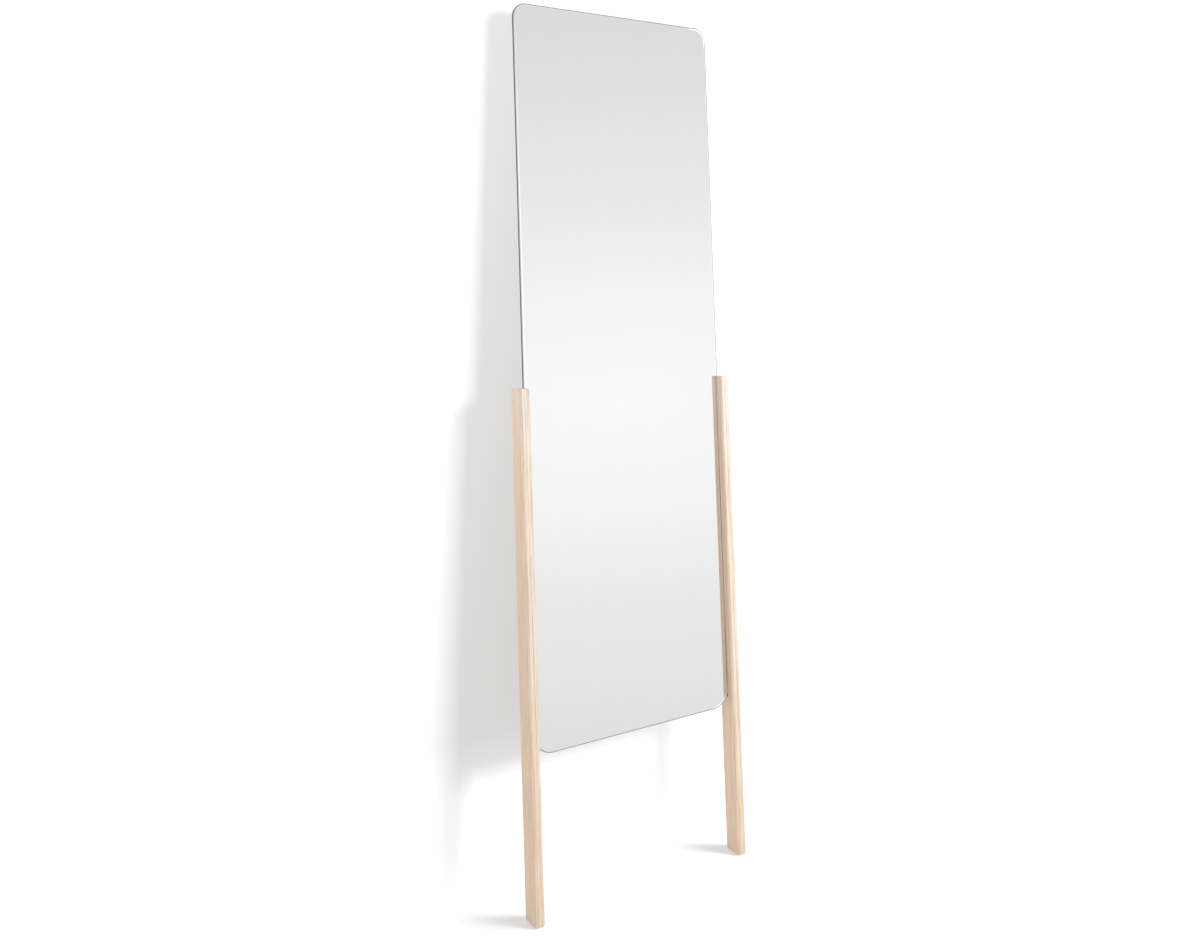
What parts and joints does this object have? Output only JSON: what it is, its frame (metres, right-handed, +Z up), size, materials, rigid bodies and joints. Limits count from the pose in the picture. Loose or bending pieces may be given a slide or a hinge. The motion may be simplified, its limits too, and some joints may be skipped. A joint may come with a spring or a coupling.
{
  "type": "leaning floor mirror",
  "caption": "Tall frameless floor mirror leaning back on slim wooden legs that grip the glass in grooves, with rails, wall bumpers and tether rings behind.",
  "frame": {"origin": "on the floor, at the middle of the whole mirror's footprint box", "axes": "+Z up, -Y towards the person looking into the mirror, +Y towards the wall, +X to that person's right"},
  "size_m": [0.524, 0.1474, 1.8112],
  "materials": {
    "mirror": "polished silvered float glass",
    "film": "grey woven-backed safety film",
    "foam_tape": "white foam tape",
    "board": "bare fibreboard",
    "dowel_wood": "fluted beech",
    "zinc_steel": "bright zinc plate",
    "rail_wood": "whitened ash, matt oil",
    "leg_wood": "whitened ash, matt oil, fine grain along the length",
    "pad_rubber": "beige non-slip rubber",
    "block_rubber": "brown moulded rubber",
    "liner": "brown soft channel",
    "bumper_rubber": "light grey moulded rubber",
    "hanger_steel": "nickel-plated steel"
  },
  "bodies": {
    "mirror": {"back_board": "board", "board_screws": "zinc_steel", "bumper_screws": "zinc_steel", "hanger_screws": "zinc_steel", "left_foot_pad": "pad_rubber", "left_groove_liner": "liner", "left_hanger_strap": "hanger_steel", "left_leg": "leg_wood", "left_setting_block": "block_rubber", "left_wall_bumper": "bumper_rubber", "lower_rail": "rail_wood", "mirror_glass": "mirror", "mounting_tape": "foam_tape", "rail_dowels": "dowel_wood", "right_foot_pad": "pad_rubber", "right_groove_liner": "liner", "right_hanger_strap": "hanger_steel", "right_leg": "leg_wood", "right_setting_block": "block_rubber", "right_wall_bumper": "bumper_rubber", "safety_film": "film", "upper_rail": "rail_wood"},
    "left_ring": {"left_hanger_ring": "hanger_steel"},
    "right_ring": {"right_hanger_ring": "hanger_steel"}
  },
  "joints": [
    {"name": "left_ring_swing", "type": "hinge", "parent": "mirror", "child": "left_ring", "pos_m": [-0.15, 0.05671, 1.62066], "axis": [1, 0, 0], "range_deg": [-5, 165]},
    {"name": "right_ring_swing", "type": "hinge", "parent": "mirror", "child": "right_ring", "pos_m": [0.15, 0.05671, 1.62066], "axis": [1, 0, 0], "range_deg": [-5, 165]}
  ]
}
